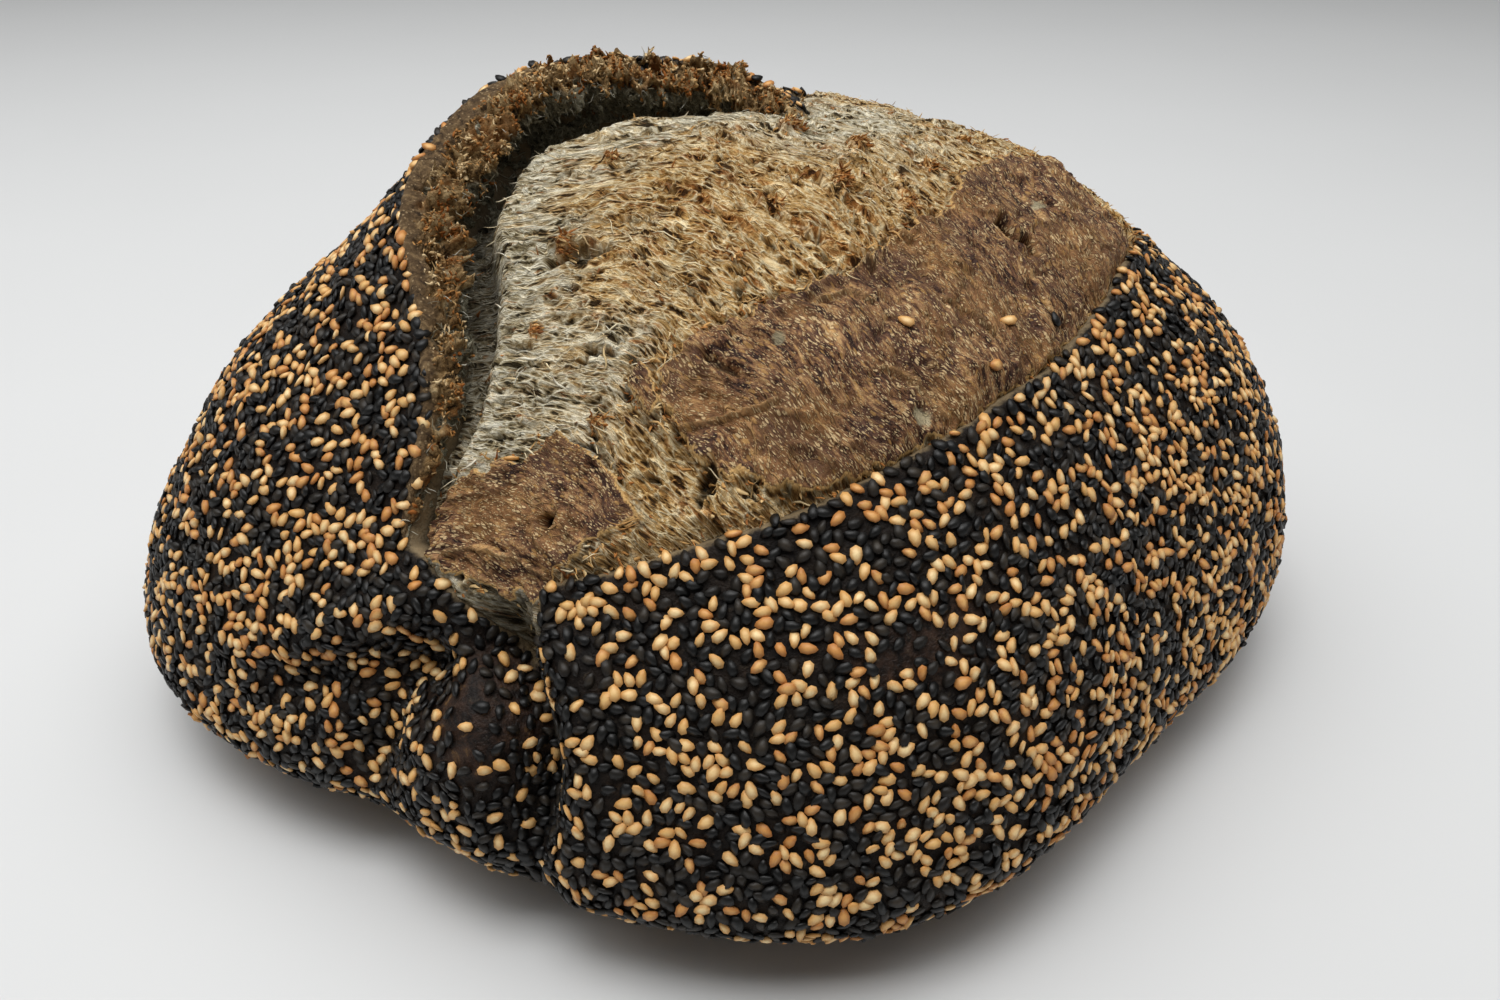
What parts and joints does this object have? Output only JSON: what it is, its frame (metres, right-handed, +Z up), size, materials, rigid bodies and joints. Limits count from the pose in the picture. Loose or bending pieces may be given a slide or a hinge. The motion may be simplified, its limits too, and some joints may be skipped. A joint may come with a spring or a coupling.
{
  "type": "seeded sourdough loaf",
  "caption": "Round sourdough loaf coated in black and golden sesame seeds, burst along one curved slash with a raised ear and bloomed crumb.",
  "frame": {"origin": "bottom centre of the loaf's box, on the surface it stands on", "axes": "+X along the loaf's longest side, +Y towards its back, away from the slash's front end, +Z up through the crown"},
  "size_m": [0.2695, 0.2458, 0.1314],
  "materials": {
    "crust": "dark baked crust, slightly waxy, dusted with flour in the hollows",
    "crumb": "torn crumb: grey-straw fibres browned at their crests, matte",
    "black_seed": "black sesame, satin",
    "golden_seed": "toasted golden sesame, satin"
  },
  "bodies": {
    "root": {"loaf": "crust"}
  },
  "joints": []
}
